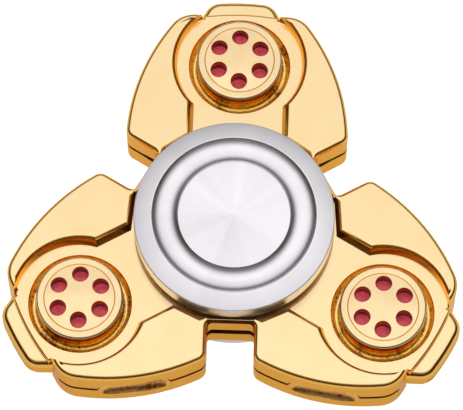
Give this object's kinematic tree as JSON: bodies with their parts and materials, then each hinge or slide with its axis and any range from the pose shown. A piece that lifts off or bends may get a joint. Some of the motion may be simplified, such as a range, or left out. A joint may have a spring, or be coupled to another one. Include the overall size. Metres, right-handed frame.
{
  "type": "fidget spinner",
  "caption": "Three-armed metal fidget spinner with winged gold-plated arms, ported arm caps, red inserts and turned finger caps on a ball bearing.",
  "frame": {"origin": "on the spin axis at mid-thickness, between the front and rear halves", "axes": "+Z along the spin axis towards the front finger cap, +Y along arm 1"},
  "size_m": [0.0648, 0.0596, 0.0154],
  "materials": {
    "gold_plate": "polished yellow-gold plating on a casting, rougher in the grooves",
    "cap_gold": "polished yellow-gold plating on a turned cap",
    "red_insert": "red moulded plastic",
    "stud_steel": "plain threaded steel",
    "turned_aluminium": "fine radial turning marks",
    "bearing_steel": "ground bearing steel",
    "shield_steel": "pressed sheet steel",
    "cage_steel": "pressed ribbon steel",
    "ball_steel": "polished bearing balls"
  },
  "bodies": {
    "hub": {"front_finger_cap": "turned_aluminium", "rear_finger_cap": "turned_aluminium", "finger_cap_stud": "stud_steel", "bearing_inner_race": "bearing_steel"},
    "rotor": {"front_shell": "gold_plate", "rear_shell": "gold_plate", "bearing_outer_race": "bearing_steel", "front_bearing_shield": "shield_steel", "rear_bearing_shield": "shield_steel", "front_arm_cap_1": "cap_gold", "front_arm_cap_2": "cap_gold", "front_arm_cap_3": "cap_gold", "rear_arm_cap_1": "cap_gold", "rear_arm_cap_2": "cap_gold", "rear_arm_cap_3": "cap_gold", "front_arm_insert_1": "red_insert", "front_arm_insert_2": "red_insert", "front_arm_insert_3": "red_insert", "rear_arm_insert_1": "red_insert", "rear_arm_insert_2": "red_insert", "rear_arm_insert_3": "red_insert", "arm_stud_1": "stud_steel", "arm_stud_2": "stud_steel", "arm_stud_3": "stud_steel"},
    "cage": {"front_cage_half": "cage_steel", "rear_cage_half": "cage_steel", "cage_rivets": "cage_steel"},
    "ball_1": {"ball_1": "ball_steel"},
    "ball_2": {"ball_2": "ball_steel"},
    "ball_3": {"ball_3": "ball_steel"},
    "ball_4": {"ball_4": "ball_steel"},
    "ball_5": {"ball_5": "ball_steel"},
    "ball_6": {"ball_6": "ball_steel"},
    "ball_7": {"ball_7": "ball_steel"}
  },
  "joints": [
    {"name": "rotor_spin", "type": "hinge", "parent": "hub", "child": "rotor", "pos_m": [0, 0, 0], "axis": [0, 0, 1], "continuous": true},
    {"name": "cage_spin", "type": "hinge", "parent": "hub", "child": "cage", "pos_m": [0, 0, 0], "axis": [0, 0, 1], "continuous": true},
    {"name": "ball_1_spin", "type": "hinge", "parent": "cage", "child": "ball_1", "pos_m": [0, 0.0075, 0], "axis": [0, 0, 1], "continuous": true},
    {"name": "ball_2_spin", "type": "hinge", "parent": "cage", "child": "ball_2", "pos_m": [-0.00586, 0.00468, 0], "axis": [0, 0, 1], "continuous": true},
    {"name": "ball_3_spin", "type": "hinge", "parent": "cage", "child": "ball_3", "pos_m": [-0.00731, -0.00167, 0], "axis": [0, 0, 1], "continuous": true},
    {"name": "ball_4_spin", "type": "hinge", "parent": "cage", "child": "ball_4", "pos_m": [-0.00325, -0.00676, 0], "axis": [0, 0, 1], "continuous": true},
    {"name": "ball_5_spin", "type": "hinge", "parent": "cage", "child": "ball_5", "pos_m": [0.00325, -0.00676, 0], "axis": [0, 0, 1], "continuous": true},
    {"name": "ball_6_spin", "type": "hinge", "parent": "cage", "child": "ball_6", "pos_m": [0.00731, -0.00167, 0], "axis": [0, 0, 1], "continuous": true},
    {"name": "ball_7_spin", "type": "hinge", "parent": "cage", "child": "ball_7", "pos_m": [0.00586, 0.00468, 0], "axis": [0, 0, 1], "continuous": true}
  ],
  "couplings": [
    {"joint": "cage_spin", "follows": "rotor_spin", "ratio": 0.63227},
    {"joint": "ball_1_spin", "follows": "rotor_spin", "ratio": 1.7579},
    {"joint": "ball_2_spin", "follows": "rotor_spin", "ratio": 1.7579},
    {"joint": "ball_3_spin", "follows": "rotor_spin", "ratio": 1.7579},
    {"joint": "ball_4_spin", "follows": "rotor_spin", "ratio": 1.7579},
    {"joint": "ball_5_spin", "follows": "rotor_spin", "ratio": 1.7579},
    {"joint": "ball_6_spin", "follows": "rotor_spin", "ratio": 1.7579},
    {"joint": "ball_7_spin", "follows": "rotor_spin", "ratio": 1.7579}
  ]
}
